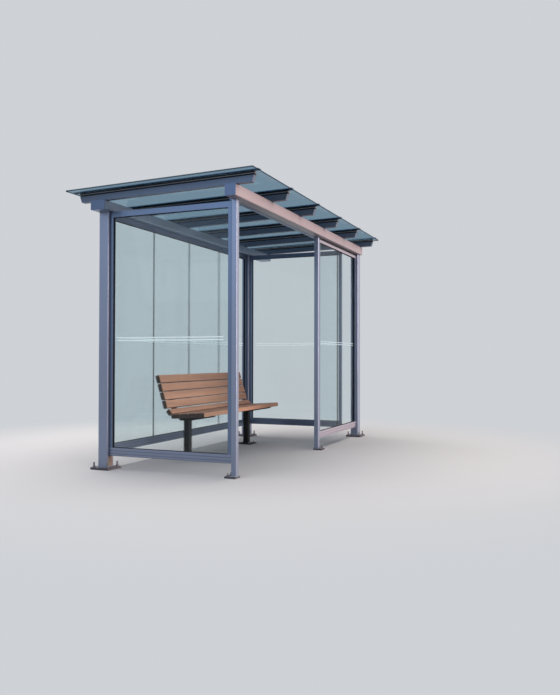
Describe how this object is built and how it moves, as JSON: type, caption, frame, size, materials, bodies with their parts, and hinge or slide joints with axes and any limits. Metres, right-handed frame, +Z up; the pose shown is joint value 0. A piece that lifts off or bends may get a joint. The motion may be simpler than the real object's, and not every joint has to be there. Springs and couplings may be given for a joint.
{
  "type": "bus shelter",
  "caption": "Bus shelter with a sloping glass roof on steel posts and beams, framed glass walls and a slatted bench.",
  "frame": {"origin": "on the ground, under the middle of the roof", "axes": "+X along the shelter towards the end with the wing screen, -Y towards the open side with the entrance, +Z up"},
  "size_m": [3.984, 1.9028, 2.6172],
  "materials": {
    "post_steel": "satin",
    "plate_steel": "satin",
    "beam_steel": "satin",
    "rafter_steel": "satin",
    "frame_metal": "satin",
    "gasket": "matt",
    "roof_glass": "gloss",
    "wall_glass": "gloss",
    "bench_wood": "satin",
    "bench_steel": "satin"
  },
  "bodies": {
    "root": {"post_back_near": "post_steel", "post_front_near": "post_steel", "post_front_middle": "post_steel", "post_front_far": "post_steel", "post_back_far": "post_steel", "base_plates_large": "plate_steel", "base_plates_small": "plate_steel", "front_beam": "beam_steel", "back_beam": "beam_steel", "beam_end_caps": "beam_steel", "rafters": "rafter_steel", "rafter_end_caps": "rafter_steel", "glazing_bars": "frame_metal", "near_end_wall_bottom_rail": "frame_metal", "near_end_wall_top_rail": "frame_metal", "near_end_wall_jambs": "frame_metal", "back_wall_bottom_rail": "frame_metal", "back_wall_top_rail": "frame_metal", "back_wall_jambs": "frame_metal", "far_end_wall_bottom_rail": "frame_metal", "far_end_wall_top_rail": "frame_metal", "far_end_wall_jambs": "frame_metal", "front_screen_bottom_rail": "frame_metal", "front_screen_top_rail": "frame_metal", "front_screen_jambs": "frame_metal", "roof_gaskets": "gasket", "roof_glass": "roof_glass", "near_end_wall_glass": "wall_glass", "back_wall_glass": "wall_glass", "far_end_wall_glass": "wall_glass", "front_screen_glass": "wall_glass", "bench_seat_slats": "bench_wood", "bench_back_slats": "bench_wood", "bench_turn_slat": "bench_wood", "bench_arms": "bench_steel", "bench_uprights": "bench_steel", "bench_pedestals": "bench_steel", "bench_floor_plates": "bench_steel"}
  },
  "joints": []
}
